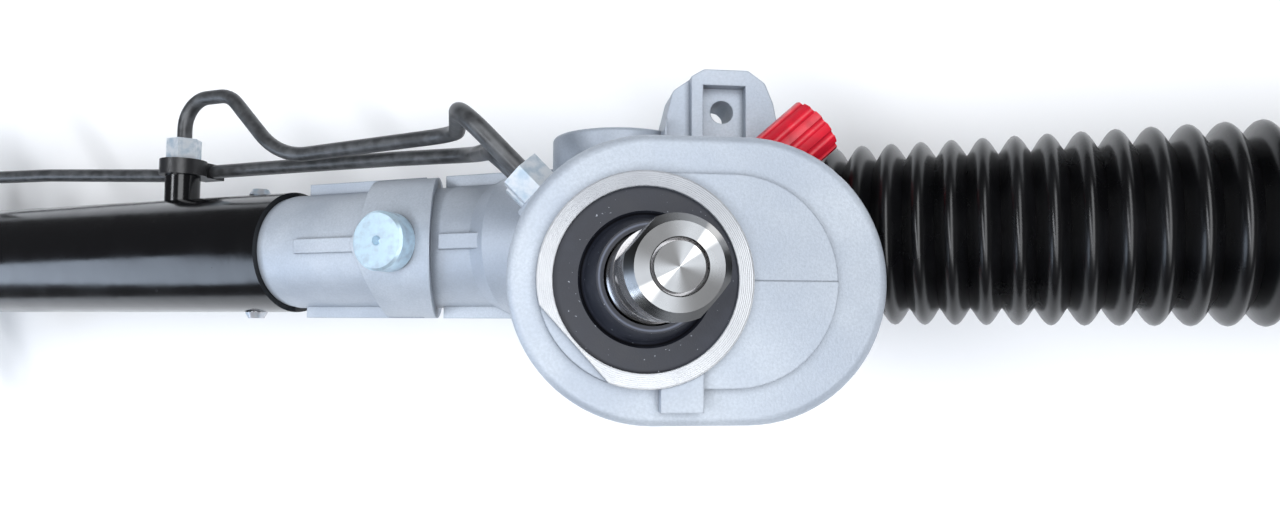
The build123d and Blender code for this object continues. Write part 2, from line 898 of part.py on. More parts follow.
    # pinion and valve bores
    revolve(
        turned(
            pinion_side,
            (tower_floor - 1, 0),
            (tower_floor - 1, cap_seat_dia / 2),
            (lower_bearing_top - lower_bearing_width - 2, cap_seat_dia / 2),
            (lower_bearing_top - lower_bearing_width - 2, lower_bearing_dia / 2 + seat),
            (lower_bearing_top, lower_bearing_dia / 2 + seat),
            (lower_bearing_top, tip_radius + 1.4),
            (upper_bearing_floor, tip_radius + 1.4),
            (upper_bearing_floor, upper_bearing_dia / 2),
            (sleeve_start - 3, upper_bearing_dia / 2),
            (sleeve_start - 3, valve_bore / 2),
            (cover_floor, valve_bore / 2),
            (cover_floor, cover_bore / 2),
            (ring_height + 1, cover_bore / 2),
            (ring_height + 1, 0),
        ),
        axis=pinion_line,
        mode=Mode.SUBTRACT,
    )
    for port in (upper_port, lower_port, inlet_port, outlet_port):
        mouth = on_port(port, port[2])
        bore = nut_shank + 2 * seat if port in (upper_port, lower_port) else hose_bore
        extrude(disc(mouth, bore), amount=-port_depth, mode=Mode.SUBTRACT)
        extrude(disc(mouth, port_drill), amount=-port[2] + valve_bore / 2 - 1, mode=Mode.SUBTRACT)
    # tapped hole through the lug
    lug_mouth = Plane(origin=(0, 0, 0), x_dir=across, z_dir=shaft_up).offset(lug_pocket + 1)
    extrude(disc(lug_mouth, lug_bore), amount=-lug_floor, mode=Mode.SUBTRACT)
    # seat of the blanking plug, and the stakes through the spigot
    extrude(
        disc(over_rack(plug_station).offset(collar_dia / 2 - plug_sink), plug_post_dia),
        amount=2 * plug_sink,
        mode=Mode.SUBTRACT,
    )
    extrude(disc(beside_rack(stake_station), stake_dia), amount=tube_dia, both=True, mode=Mode.SUBTRACT)
finish(pinion_housing.part, "pinion_housing")

# Cap that closes the housing below the pinion
with BuildPart() as lower_cap:
    revolve(
        turned(
            pinion_side,
            (tower_floor - 2, 0),
            (tower_floor - 2, cap_rim_dia / 2),
            (tower_floor - seat, cap_rim_dia / 2),
            (tower_floor - seat, cap_seat_dia / 2 - seat),
            (lower_bearing_top - lower_bearing_width - 3, cap_seat_dia / 2 - seat),
            (lower_bearing_top - lower_bearing_width - 3, cap_seat_dia / 2 - 4),
            (tower_floor - 2 + cap_web, cap_seat_dia / 2 - 4),
            (tower_floor - 2 + cap_web, 0),
        ),
        axis=pinion_line,
    )
finish(lower_cap.part, "lower_cap")

# Oil seal round the input shaft and the ring that keeps it in
with BuildPart() as shaft_seal:
    revolve(
        band(
            pinion_side,
            seal_top - seal_height,
            seal_top,
            journal_dia / 2 + running,
            valve_bore / 2 - seat,
        ),
        axis=pinion_line,
    )
finish(shaft_seal.part, "shaft_seal")

with BuildPart() as retaining_ring:
    revolve(
        band(
            pinion_side,
            seal_top + seat,
            cover_floor - seat,
            retainer_bore / 2,
            valve_bore / 2 - seat,
        ),
        axis=pinion_line,
    )
finish(retaining_ring.part, "retaining_ring")

# Rubber dust cover in the mouth of the tower, with a creased rim and a raised neck
with BuildPart() as dust_cover:
    revolve(
        turned(
            pinion_side,
            (cover_floor + seat, cover_hole + 1),
            (cover_floor + seat, cover_bore / 2 - seat),
            (ring_height - 1.2, cover_bore / 2 - seat),
            (ring_height - 0.6, cover_crease + 0.6),
            (ring_height - 1.8, cover_crease),
            (ring_height - 0.4, cover_crease - 0.8),
            (ring_height + 2.4, cover_crease - 1.4),
            (cover_neck, cover_hole + cover_neck_width),
            (cover_neck, cover_hole),
            (ring_height + 2, cover_hole),
        ),
        axis=pinion_line,
    )
finish(dust_cover.part, "dust_cover")

# Yoke that presses the rack against the pinion, its slide liner, spring and adjuster plug
spring_pocket = spring_dia / 2 + spring_wire / 2 + clear
with BuildPart() as rack_yoke:
    extrude(disc(beside_rack(0).offset(yoke_floor), yoke_dia - 2 * running), amount=yoke_top - yoke_floor)
    extrude(
        disc(on_rack(-yoke_dia), rack_dia + 2 * running + 2 * liner_thick + 2 * seat),
        amount=2 * yoke_dia,
        mode=Mode.SUBTRACT,
    )
    extrude(
        disc(beside_rack(0).offset(spring_floor - seat), 2 * spring_pocket),
        amount=yoke_top,
        mode=Mode.SUBTRACT,
    )
finish(rack_yoke.part, "rack_yoke")

with BuildPart() as yoke_liner:
    extrude(disc(beside_rack(0).offset(yoke_floor), yoke_dia - 2), amount=yoke_top - yoke_floor)
    extrude(
        disc(on_rack(-yoke_dia), rack_dia + 2 * running + 2 * liner_thick),
        amount=2 * yoke_dia,
        mode=Mode.INTERSECT,
    )
    extrude(disc(on_rack(-yoke_dia), rack_dia + 2 * running), amount=2 * yoke_dia, mode=Mode.SUBTRACT)
finish(yoke_liner.part, "yoke_liner")

with BuildPart() as yoke_spring:
    spring_foot = crossing + upward * (spring_floor + spring_wire / 2)
    with BuildLine():
        coil = Helix(
            pitch=(spring_top - spring_floor - spring_wire) / spring_turns,
            height=spring_top - spring_floor - spring_wire,
            radius=spring_dia / 2,
            center=spring_foot,
            direction=upward,
        )
    sweep(disc(Plane(origin=coil @ 0, z_dir=coil % 0), spring_wire - 2 * seat), path=coil)
finish(yoke_spring.part, "yoke_spring")

with BuildPart() as yoke_plug:
    plug_base = beside_rack(0).offset(drum_height - plug_depth + seat)
    extrude(disc(plug_base, plug_dia - 2 * seat), amount=plug_depth - 0.5)
    extrude(
        disc(plug_base, 2 * spring_pocket),
        amount=spring_top - drum_height + plug_depth + seat,
        mode=Mode.SUBTRACT,
    )
    with BuildSketch(beside_rack(0).offset(drum_height)):
        RegularPolygon(hex_key / 2, 6, major_radius=False)
    extrude(amount=-hex_depth, mode=Mode.SUBTRACT)
finish(yoke_plug.part, "yoke_plug")

# Bush that carries the rack at the boot end of the housing
with BuildPart() as rack_bush:
    revolve(
        band(
            rack_side,
            housing_end - 2 - rack_bush_length,
            housing_end - 2,
            rack_dia / 2 + running,
            barrel_bore / 2 + 1.5 - seat,
        ),
        axis=rack_line,
    )
finish(rack_bush.part, "rack_bush")

# Hydraulic cylinder tube over the housing's spigot, drilled for the ports and the stakes
with BuildPart() as cylinder_tube:
    revolve(band(rack_side, tube_left, tube_right, tube_bore / 2, tube_dia / 2), axis=rack_line)
    extrude(disc(beside_rack(stake_station), stake_dia), amount=tube_dia, both=True, mode=Mode.SUBTRACT)
    for station in (near_port, far_port):
        extrude(disc(beside_rack(station), port_drill), amount=tube_dia, mode=Mode.SUBTRACT)
finish(cylinder_tube.part, "cylinder_tube")

# Stakes that pin the tube to the spigot
with BuildPart() as stake_pins:
    for side in (1, -1):
        shank = Plane(
            origin=crossing + Vector(stake_station, side * (barrel_bore / 2 + 1), 0),
            x_dir=(1, 0, 0),
            z_dir=(0, side, 0),
        )
        extrude(disc(shank, stake_dia - 2 * seat), amount=tube_dia / 2 - barrel_bore / 2)
        head = shank.offset(tube_dia / 2 - barrel_bore / 2 - 1 + seat)
        with BuildSketch(head) as head_foot:
            Circle(4)
        with BuildSketch(head.offset(2.2)) as head_top:
            Circle(2.8)
        loft(sections=[head_foot.sketch, head_top.sketch], ruled=True)
finish(stake_pins.part, "stake_pins")

# Bosses brazed on the tube for its two ports
with BuildPart() as port_bosses:
    for station in (near_port, far_port):
        extrude(disc(beside_rack(station), boss_dia), amount=boss_top)
    revolve(
        band(rack_side, tube_left, tube_right, 0, tube_dia / 2 + seat), axis=rack_line, mode=Mode.SUBTRACT
    )
    for station in (near_port, far_port):
        extrude(disc(beside_rack(station), port_drill), amount=boss_top, mode=Mode.SUBTRACT)
        mouth = beside_rack(station).offset(boss_top)
        extrude(disc(mouth, nut_shank + 2 * seat), amount=-nut_grip - 1, mode=Mode.SUBTRACT)
finish(port_bosses.part, "port_bosses")

# Seals, carrier and bush inside the tube
with BuildPart() as inner_seal_carrier:
    revolve(
        turned(
            rack_side,
            (spigot_start - seat, rack_dia / 2 + clear),
            (spigot_start - seat, tube_bore / 2 - seat),
            (spigot_start - carrier_length, tube_bore / 2 - seat),
            (spigot_start - carrier_length, rod_seal_dia / 2),
            (spigot_start - carrier_length + rod_seal_width + 1, rod_seal_dia / 2),
            (spigot_start - carrier_length + rod_seal_width + 1, rack_dia / 2 + clear),
        ),
        axis=rack_line,
    )
finish(inner_seal_carrier.part, "inner_seal_carrier")

with BuildPart() as inner_rack_seal:
    revolve(
        band(
            rack_side,
            spigot_start - carrier_length + 1 - seat,
            spigot_start - carrier_length + rod_seal_width + 1 - seat,
            rack_dia / 2 + running,
            rod_seal_dia / 2 - seat,
        ),
        axis=rack_line,
    )
finish(inner_rack_seal.part, "inner_rack_seal")

bush_inner = tube_left + end_ring_width * 2 + end_bush_length
with BuildPart() as end_bush:
    revolve(
        turned(
            rack_side,
            (bush_inner, rod_seal_dia / 2),
            (bush_inner - rod_seal_width - 1, rod_seal_dia / 2),
            (bush_inner - rod_seal_width - 1, rack_dia / 2 + running),
            (tube_left + 2 * end_ring_width, rack_dia / 2 + running),
            (tube_left + 2 * end_ring_width, tube_bore / 2 - seat),
            (bush_inner, tube_bore / 2 - seat),
        ),
        axis=rack_line,
    )
finish(end_bush.part, "end_bush")

with BuildPart() as outer_rack_seal:
    revolve(
        band(
            rack_side,
            bush_inner - rod_seal_width - 1 + seat,
            bush_inner - 1 + seat,
            rack_dia / 2 + running,
            rod_seal_dia / 2 - seat,
        ),
        axis=rack_line,
    )
finish(outer_rack_seal.part, "outer_rack_seal")

with BuildPart() as end_ring:
    revolve(
        band(
            rack_side,
            tube_left + end_ring_width,
            tube_left + 2 * end_ring_width - seat,
            rack_dia / 2 + 2,
            tube_bore / 2 - seat,
        ),
        axis=rack_line,
    )
finish(end_ring.part, "end_ring")

# Rubber mounting bush round the tube and the bracket that straps it down
with BuildPart() as mount_bush:
    with BuildSketch(on_rack(bush_station - bush_width / 2)):
        Circle(bush_dia / 2)
        with Locations((0, foot_level)):
            Rectangle(bush_dia, bush_dia, align=(Align.CENTER, Align.MAX), mode=Mode.SUBTRACT)
        Circle(tube_dia / 2 + seat, mode=Mode.SUBTRACT)
    extrude(amount=bush_width)
finish(mount_bush.part, "mount_bush")

with BuildPart() as mount_bracket:
    with BuildSketch(on_rack(bush_station - strap_width / 2)):
        Circle(bush_dia / 2 + strap_thick)
        with Locations((0, foot_level)):
            Rectangle(foot_span, strap_thick, align=(Align.CENTER, Align.MIN))
            Rectangle(foot_span, bush_dia, align=(Align.CENTER, Align.MAX), mode=Mode.SUBTRACT)
        Circle(bush_dia / 2 + seat, mode=Mode.SUBTRACT)
    extrude(amount=strap_width)
    for side in (1, -1):
        foot_plane = over_rack(bush_station).offset(foot_level - 1)
        foot_centre = foot_plane.origin + Vector(0, side * foot_spacing / 2, 0)
        hole = Plane(origin=foot_centre, x_dir=(1, 0, 0), z_dir=(0, 0, 1))
        extrude(disc(hole, foot_hole), amount=strap_thick + 2, mode=Mode.SUBTRACT)
finish(mount_bracket.part, "mount_bracket")

# Flare nuts: two in the tower's ports and two in the tube's bosses
pipe_bore = pipe_dia + 2 * seat
with BuildPart() as flare_nuts:
    nut_seats = [on_port(port, port[2]) for port in (upper_port, lower_port)]
    nut_seats += [beside_rack(station).offset(boss_top) for station in (near_port, far_port)]
    for nut_seat in nut_seats:
        with BuildSketch(nut_seat.offset(seat)):
            RegularPolygon(nut_flats / 2, 6, major_radius=False)
            Circle(pipe_bore / 2, mode=Mode.SUBTRACT)
        extrude(amount=nut_height)
        with BuildSketch(nut_seat.offset(seat)):
            Circle(nut_shank / 2)
            Circle(pipe_bore / 2, mode=Mode.SUBTRACT)
        extrude(amount=-nut_grip)
finish(flare_nuts.part, "flare_nuts")


def port_point(port, reach):
    """Point on a port's axis, from the crossing."""
    return on_port(port, reach).origin - crossing


def swept_pipe(points, radii):
    """Steel pipe through points given from the crossing, bent at each corner."""
    with BuildPart() as pipe:
        with BuildLine():
            route = FilletPolyline(*[crossing + point for point in points], radius=radii)
        sweep(disc(Plane(origin=route @ 0, z_dir=route % 0), pipe_dia), path=route)
    section = pi * pipe_dia**2 / 4
    print("pipe", round(pipe.part.volume / (section * route.length), 4), "length", round(route.length, 1))
    return pipe.part


# Transfer pipes: chamber ports on the tube to the valve ports on the tower
pipe_level = clip_floor + clip_height / 2
upper_route = [
    Vector(near_port, boss_top - 2, 0),
    Vector(near_port, pipe_arch, 0),
    Vector(near_port + arch_width, pipe_arch, 0),
    Vector(upper_dip_station, upper_dip, 0),
    Vector(upper_run_station, upper_run, 1),
    port_point(upper_port, upper_corner_reach),
    port_point(upper_port, pipe_port_reach - 3),
]
upper_pipe = swept_pipe(upper_route, [tight_bend, tight_bend, wide_bend, middle_bend, tight_bend])
finish(upper_pipe, "upper_transfer_pipe")

lower_route = [
    Vector(far_port, boss_top - 2, 0),
    Vector(far_port, pipe_arch, 0),
    Vector(far_port + arch_width, pipe_arch, 0),
    Vector(far_port + lower_dip_gap, lower_dip, -pipe_back),
    Vector(lower_run_station, lower_run, -clip_depth + pipe_back),
    Vector(near_port - arch_width, pipe_level, -clip_depth),
    Vector(near_port + arch_width, pipe_level, -clip_depth),
    Vector(lower_bay_station, lower_bay, -clip_depth + pipe_back),
    Vector(lower_rise_station, lower_rise, -pipe_back),
    port_point(lower_port, lower_corner_reach),
    port_point(lower_port, pipe_port_reach - 3),
]
lower_bends = [tight_bend, tight_bend, wide_bend] + 3 * [sweep_bend] + [sweep_bend, middle_bend, tight_bend]
lower_pipe = swept_pipe(lower_route, lower_bends)
finish(lower_pipe, "lower_transfer_pipe")

# Clip round the near boss that holds the lower pipe
with BuildPart() as pipe_clip:
    clip_base = beside_rack(near_port).offset(clip_floor)
    with BuildSketch(clip_base):
        Circle(boss_dia / 2 + clip_wall)
        with Locations((0, clip_depth / 2 + clip_wall)):
            Rectangle(clip_width, clip_depth + pipe_dia)
    extrude(amount=clip_height)
    extrude(disc(clip_base, boss_dia + 2 * seat), amount=clip_height, mode=Mode.SUBTRACT)
    pipe_hole = Plane(
        origin=crossing + Vector(near_port - clip_width, pipe_level, -clip_depth),
        x_dir=(0, 1, 0),
        z_dir=(1, 0, 0),
    )
    extrude(disc(pipe_hole, pipe_bore), amount=2 * clip_width, mode=Mode.SUBTRACT)
finish(pipe_clip.part, "pipe_clip")

# Blanking plug in the barrel, with a centre-drilled face
with BuildPart() as blanking_plug:
    post_foot = over_rack(plug_station).offset(collar_dia / 2 - plug_sink + seat)
    extrude(disc(post_foot, plug_post_dia - 2 * seat), amount=plug_sink + 1)
    disc_foot = over_rack(plug_station).offset(collar_dia / 2 + seat)
    extrude(disc(disc_foot, plug_disc_dia), amount=plug_disc_height)
    plug_rim = blanking_plug.edges().filter_by(GeomType.CIRCLE).sort_by(Axis.Z)[-1]
    chamfer(plug_rim, 0.8)
    with BuildSketch(disc_foot.offset(plug_disc_height)) as dimple_mouth:
        Circle(plug_dimple / 2)
    with BuildSketch(disc_foot.offset(plug_disc_height - 2)) as dimple_floor:
        Circle(plug_dimple / 5)
    loft(sections=[dimple_floor.sketch, dimple_mouth.sketch], ruled=True, mode=Mode.SUBTRACT)
finish(blanking_plug.part, "blanking_plug")


def transit_cap(port):
    """Fluted cap pushed into a hose port."""
    mouth = on_port(port, port[2])
    with BuildPart() as cap:
        extrude(disc(mouth.offset(free - cap_stub), hose_bore - 2 * free), amount=cap_stub)
        with BuildSketch(mouth.offset(free)):
            Circle(cap_dia / 2)
            with PolarLocations(cap_dia / 2 + 0.5, cap_flutes):
                Circle(1.2, mode=Mode.SUBTRACT)
        extrude(amount=cap_length)
    return cap.part


finish(transit_cap(inlet_port), "cap_pressure")
finish(transit_cap(outlet_port), "cap_return")


# Inner ball joints, tie rods and their fittings at both ends of the rack
def along(start, outward):
    """Section plane that starts at a station and runs outwards to one end."""
    return Plane(
        origin=crossing + Vector(start, 0, 0), x_dir=(outward, 0, 0), z_dir=(0, 0, outward)
    )


def seam_inward(outward):
    """Turn that puts a sphere's seam on the side away from its rod."""
    return (0, 0, 90 + 90 * outward)


def ball_socket(end, outward):
    """Socket screwed into the rack's end, with a mouth that lets the rod swing."""
    plane = along(end, outward)
    with BuildPart() as socket:
        revolve(
            turned(
                plane,
                (-socket_mouth + 0.5, 0),
                (-socket_mouth + 0.5, thread_dia / 2 - seat),
                (seat, thread_dia / 2 - seat),
                (seat, socket_dia / 2 - 1),
                (1, socket_dia / 2),
                (socket_shoulder + 11, socket_dia / 2),
                (socket_shoulder + socket_mouth, socket_dia / 2 - 1),
                (socket_shoulder + socket_mouth, 15.6),
                (socket_shoulder + 8, 11.4),
                (socket_shoulder, 11.4),
                (socket_shoulder, 0),
            ),
            axis=rack_line,
        )
        with Locations(crossing + Vector(end + outward * socket_shoulder, 0, 0)):
            Sphere(
                ball_dia / 2 + running + seat_thick + running,
                rotation=seam_inward(outward),
                mode=Mode.SUBTRACT,
            )
        for side in (1, -1):
            flat_plane = beside_rack(end + outward * socket_shoulder / 3).offset(side * socket_flats / 2)
            with BuildSketch(flat_plane):
                Rectangle(socket_shoulder / 2, socket_dia)
            extrude(amount=side * socket_dia, mode=Mode.SUBTRACT)
    return socket.part


def ball_seat(centre, outward):
    """Seat shell that turns in the socket and in which the ball turns."""
    with BuildPart() as shell:
        with Locations(crossing + Vector(centre, 0, 0)):
            Sphere(ball_dia / 2 + running + seat_thick, rotation=seam_inward(outward))
            Sphere(ball_dia / 2 + running, rotation=seam_inward(outward), mode=Mode.SUBTRACT)
        with BuildSketch(on_rack(centre + outward * 7.5)):
            Rectangle(2 * ball_dia, 2 * ball_dia)
        extrude(amount=outward * ball_dia, mode=Mode.SUBTRACT)
    return shell.part


def tie_rod(centre, outward):
    """Rod with its forged ball, a neck and a threaded outer end."""
    neck = neck_dia_rod / 2
    shoulder = rod_length - thread_length
    nut_start = rod_length - thread_length / 2
    nut_end = nut_start + jam_nut_height
    crest = thread_dia / 2 - running
    with BuildPart() as rod:
        with Locations(crossing + Vector(centre, 0, 0)):
            Sphere(ball_dia / 2, rotation=seam_inward(outward))
        revolve(
            turned(
                along(centre, outward),
                (0, 0),
                (0, neck),
                (neck_length, neck),
                (neck_length + 6, rod_dia / 2),
                (shoulder, rod_dia / 2),
                (shoulder + 1.5, crest),
                (nut_start - seat, crest),
                (nut_start - seat, thread_pitch_dia / 2),
                (nut_end + seat, thread_pitch_dia / 2),
                (nut_end + seat, crest),
                (rod_length - 1.5, crest),
                (rod_length, crest - 1.5),
                (rod_length, 0),
            ),
            axis=rack_line,
        )
    return rod.part


def jam_nut(centre, outward):
    """Nut that locks the outer end, bored at the thread's pitch diameter like the rod inside it."""
    start = centre + outward * (rod_length - thread_length / 2)
    with BuildPart() as nut:
        with BuildSketch(on_rack(start)):
            RegularPolygon(jam_nut_flats / 2, 6, major_radius=False)
            Circle(thread_pitch_dia / 2 + seat, mode=Mode.SUBTRACT)
        extrude(amount=outward * jam_nut_height)
    return nut.part


# Boots: bellows from the housing and the tube to the tie rods
tail_bore = rod_dia / 2 + running
tail_wall = 2.2
fold_start = cuff_length
fold_end = cuff_length + boot_folds * boot_pitch


def boot(start, outward, neck_radius):
    """Bellows with a cuff on its housing end and a tail on the rod."""
    cuff_bore = neck_radius + running
    folds = [(fold_start, cuff_bore + cuff_wall)]
    for fold in range(boot_folds):
        folds.append((fold_start + (fold + 0.5) * boot_pitch, boot_crest / 2))
        folds.append((fold_start + (fold + 1) * boot_pitch, boot_valley / 2))
    with BuildPart() as bellows:
        revolve(
            turned(
                along(start, outward),
                (0, cuff_bore),
                (0, cuff_bore + cuff_wall),
                *folds,
                (fold_end, tail_bore + tail_wall),
                (fold_end + tail_length, tail_bore + tail_wall),
                (fold_end + tail_length, tail_bore),
                (fold_end - boot_wall, tail_bore),
                (fold_end - boot_wall, boot_valley / 2 - boot_wall),
                (fold_start + seat, boot_valley / 2 - boot_wall),
                (fold_start + seat, cuff_bore),
            ),
            axis=rack_line,
        )
    return bellows.part


right_start = housing_end - cuff_length - 2
left_start = tube_left + cuff_length
right_neck = barrel_dia / 2 - 1.5
ends = {
    "right": (bar_right, 1, right_start, right_neck),
    "left": (bar_left, -1, left_start, tube_dia / 2),
}
for side, (end, outward, boot_start, neck_radius) in ends.items():
    centre = end + outward * socket_shoulder
    finish(ball_socket(end, outward), f"socket_{side}")
    finish(ball_seat(centre, outward), f"ball_seat_{side}")
    finish(tie_rod(centre, outward), f"tie_rod_{side}")
    finish(jam_nut(centre, outward), f"jam_nut_{side}")
    finish(boot(boot_start, outward, neck_radius), f"boot_{side}")
    with BuildPart() as small_clamp:
        clamp_start = fold_end + (tail_length - clamp_width) / 2
        revolve(
            band(
                along(boot_start, outward),
                clamp_start,
                clamp_start + clamp_width,
                tail_bore + tail_wall + running,
                tail_bore + tail_wall + running + clamp_thick,
            ),
            axis=rack_line,
        )
    finish(small_clamp.part, f"small_clamp_{side}")

# Clamps round the boots' cuffs
with BuildPart() as large_clamps:
    for end, outward, boot_start, neck_radius in ends.values():
        clamp_start = (cuff_length - clamp_width) / 2
        revolve(
            band(
                along(boot_start, outward),
                clamp_start,
                clamp_start + clamp_width,
                neck_radius + running + cuff_wall + seat,
                neck_radius + running + cuff_wall + seat + clamp_thick,
            ),
            axis=rack_line,
        )
finish(large_clamps.part, "large_boot_clamps")
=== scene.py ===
import json
from math import cos, pi, radians

import bpy
from mathutils import Matrix, Vector


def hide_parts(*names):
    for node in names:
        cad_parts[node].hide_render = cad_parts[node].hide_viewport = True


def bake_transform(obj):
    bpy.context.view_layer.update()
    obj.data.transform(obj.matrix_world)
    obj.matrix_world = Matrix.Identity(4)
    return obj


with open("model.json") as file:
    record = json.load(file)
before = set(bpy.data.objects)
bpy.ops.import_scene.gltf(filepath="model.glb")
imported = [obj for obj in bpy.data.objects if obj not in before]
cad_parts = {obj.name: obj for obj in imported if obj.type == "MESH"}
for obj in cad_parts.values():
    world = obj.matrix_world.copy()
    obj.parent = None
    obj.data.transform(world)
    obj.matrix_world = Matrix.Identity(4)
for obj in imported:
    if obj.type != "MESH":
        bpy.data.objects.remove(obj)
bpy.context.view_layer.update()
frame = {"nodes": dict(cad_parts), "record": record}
nodes = frame["nodes"]
print("frame loaded")

# The gear's own lines, in metres: the rack runs along X and the pinion leans from Z towards +X
leanAngle = radians(28)
pinionFoot = Vector((-0.035990, -0.0518, -0.008046))
rackCentre = pinionFoot + Vector((0, 0.0149, 0))


def onRack(x):  # point on the rack's axis, in millimetres from the pinion
    return rackCentre + Vector((x, 0, 0)) / 1000


# Camera
cameraSettings = {
    "fromFoot": (0.107617, -0.00977, 0.255895),
    "forward": (-0.3645, 0.0691, -0.9286),
    "up": (0.0207, 0.9976, 0.0661),
    "focalPixels": 882.8,
    "pictureWidth": 1280,
}


def addCamera(s):
    data = bpy.data.cameras.new("camera")
    data.sensor_width = 36
    data.lens = s["focalPixels"] / s["pictureWidth"] * data.sensor_width
    data.clip_start = 0.01
    camera = bpy.data.objects.new("camera", data)
    bpy.context.scene.collection.objects.link(camera)
    back = -Vector(s["forward"]).normalized()
    right = Vector(s["up"]).cross(back).normalized()
    up = back.cross(right)
    turn = Matrix((right, up, back)).transposed().to_4x4()
    camera.matrix_world = Matrix.Translation(pinionFoot + Vector(s["fromFoot"])) @ turn
    bpy.context.scene.camera = camera


addCamera(cameraSettings)
print("camera set")


# Shader maths: a value wraps a socket, and a finish holds one material's nodes
class Value:
    def __init__(self, finish, socket):
        self.finish = finish
        self.socket = socket

    def maths(self, operation, *others):
        return self.finish.node("ShaderNodeMath", {"operation": operation}, dict(enumerate((self, *others))))

    def __add__(self, other):
        return self.maths("ADD", other)

    def __sub__(self, other):
        return self.maths("SUBTRACT", other)

    def __mul__(self, other):
        return self.maths("MULTIPLY", other)

    def __rsub__(self, other):
        return self.finish.node("ShaderNodeMath", {"operation": "SUBTRACT"}, {0: other, 1: self})

    __radd__ = __add__
    __rmul__ = __mul__


class Finish:
    def __init__(self, name, **constants):
        self.material = bpy.data.materials.new(name)
        self.material.use_nodes = True
        self.tree = self.material.node_tree
        self.shader = self.tree.nodes["Principled BSDF"]
        for socket, value in constants.items():
            self.shader.inputs[socket.replace("_", " ")].default_value = value
        self.place = self.node("ShaderNodeTexCoord", {}, {}, "Object")

    def node(self, kind, settings, inputs, output=0):
        node = self.tree.nodes.new(kind)
        for name, value in settings.items():
            setattr(node, name, value)
        for name, value in inputs.items():
            if isinstance(value, Value):
                self.tree.links.new(value.socket, node.inputs[name])
            else:
                node.inputs[name].default_value = value
        return Value(self, node.outputs[output])

    def noise(self, scale, detail):
        inputs = {"Vector": self.place, "Scale": scale, "Detail": detail}
        return self.node("ShaderNodeTexNoise", {}, inputs, "Fac")

    def step(self, value, start, end, low=0.0, high=1.0):
        return self.node(
            "ShaderNodeMapRange",
            {"interpolation_type": "SMOOTHSTEP"},
            {"Value": value, "From Min": start, "From Max": end, "To Min": low, "To Max": high},
        )

    def mix(self, factor, a, b):
        return self.node("ShaderNodeMix", {"data_type": "RGBA"}, {0: factor, 6: a, 7: b}, 2)

    def about(self, origin, turn):  # coordinates about a point, turned
        moved = self.node("ShaderNodeVectorMath", {"operation": "SUBTRACT"}, {0: self.place, 1: origin})
        turned = self.node("ShaderNodeMapping", {}, {"Vector": moved, "Rotation": turn}, "Vector")
        parts = self.tree.nodes.new("ShaderNodeSeparateXYZ")
        self.tree.links.new(turned.socket, parts.inputs[0])
        return [Value(self, socket) for socket in parts.outputs]

    def softEdge(self, radius):  # rounds the shading of sharp edges
        return self.node("ShaderNodeBevel", {"samples": 4}, {"Radius": radius}, "Normal")

    def creviceShade(self, distance):  # painted shade: dark where faces meet inwards
        return self.node("ShaderNodeAmbientOcclusion", {"samples": 6}, {"Distance": distance}, "AO")

    def bump(self, height, distance, strength=1.0, normal=None):
        inputs = {"Height": height, "Distance": distance, "Strength": strength}
        if normal:
            inputs["Normal"] = normal
        return self.node("ShaderNodeBump", {}, inputs, "Normal")

    def feed(self, **inputs):
        for socket, value in inputs.items():
            self.tree.links.new(value.socket, self.shader.inputs[socket.replace("_", " ")])
        return self.material


shaftTurn = (0, -leanAngle, 0)
ringFace = {"fadeFrom": 0.07272, "fadeTo": 0.07288, "outside": 0.0264, "inside": 0.0261, "turning": 14000}


def castAluminium(name):
    f = Finish(name)
    cloud = f.noise(38, 5)
    grain = f.noise(1500, 2)
    blast = f.noise(5200, 1)
    x, y, h = f.about(tuple(pinionFoot), shaftTurn)
    radius = (x * x + y * y).maths("SQRT")
    inRing = f.step(radius, ringFace["outside"], ringFace["inside"])
    machined = f.step(h, ringFace["fadeFrom"], ringFace["fadeTo"]) * inRing
    rings = (radius * ringFace["turning"] + f.noise(60, 2) * 3).maths("SINE")
    base = f.mix(f.step(cloud, 0.3, 0.72), (0.34, 0.38, 0.44, 1), (0.46, 0.50, 0.55, 1))
    base = f.mix(f.step(grain, 0.25, 0.75, 0.0, 0.35), base, (0.27, 0.30, 0.34, 1))
    worn = f.step(f.noise(140, 4), 0.3, 0.7) * 0.4 + f.step(rings, -0.8, 0.9, 0.2, 0.6)
    bright = f.mix(worn, (0.34, 0.35, 0.37, 1), (0.47, 0.48, 0.49, 1))
    # painted shade: the machined ring face is darker towards its top
    bright = f.mix(f.step(y, 0.002, 0.026, 0.0, 0.7), bright, (0.22, 0.23, 0.25, 1))
    base = f.mix(machined, base, bright)
    # painted shade: ambient occlusion darkens creases, recesses and steps of the casting
    base = f.mix(f.step(f.creviceShade(0.0035), 0.35, 0.85, 0.55, 0.0), base, (0.10, 0.11, 0.13, 1))
    rough = f.step(cloud, 0.2, 0.8, 0.43, 0.56) - machined * 0.08
    cast = f.bump(grain * 0.7 + blast * 0.3, 0.00022, 0.35, f.softEdge(0.0006))
    turned = f.bump(rings * machined, 0.00003, 0.5, cast)
    metal = machined * 0.35 + 0.25
    return f.feed(Base_Color=base, Roughness=rough, Metallic=metal, Normal=turned)


def glossPaint(name, colour=(0.003, 0.003, 0.0035, 1), rough=0.14):
    f = Finish(name, Metallic=0.0, Specular_IOR_Level=0.48)
    film = f.noise(90, 3)
    dust = f.step(f.noise(420, 4), 0.62, 0.8)
    base = f.mix(dust * 0.2, colour, (0.012, 0.011, 0.010, 1))
    return f.feed(
        Base_Color=base,
        Roughness=f.step(film, 0.2, 0.8, rough, rough + 0.08) + dust * 0.1,
        Normal=f.bump(film, 0.0006, 0.12),
    )


def coatedPipe(name):
    f = Finish(name, Metallic=0.35)
    drawn = f.noise(260, 4)
    base = f.mix(f.step(drawn, 0.3, 0.75), (0.040, 0.041, 0.043, 1), (0.090, 0.093, 0.097, 1))
    return f.feed(
        Base_Color=base,
        Roughness=f.step(drawn, 0.2, 0.8, 0.34, 0.5),
        Normal=f.bump(drawn, 0.0001, 0.3),
    )


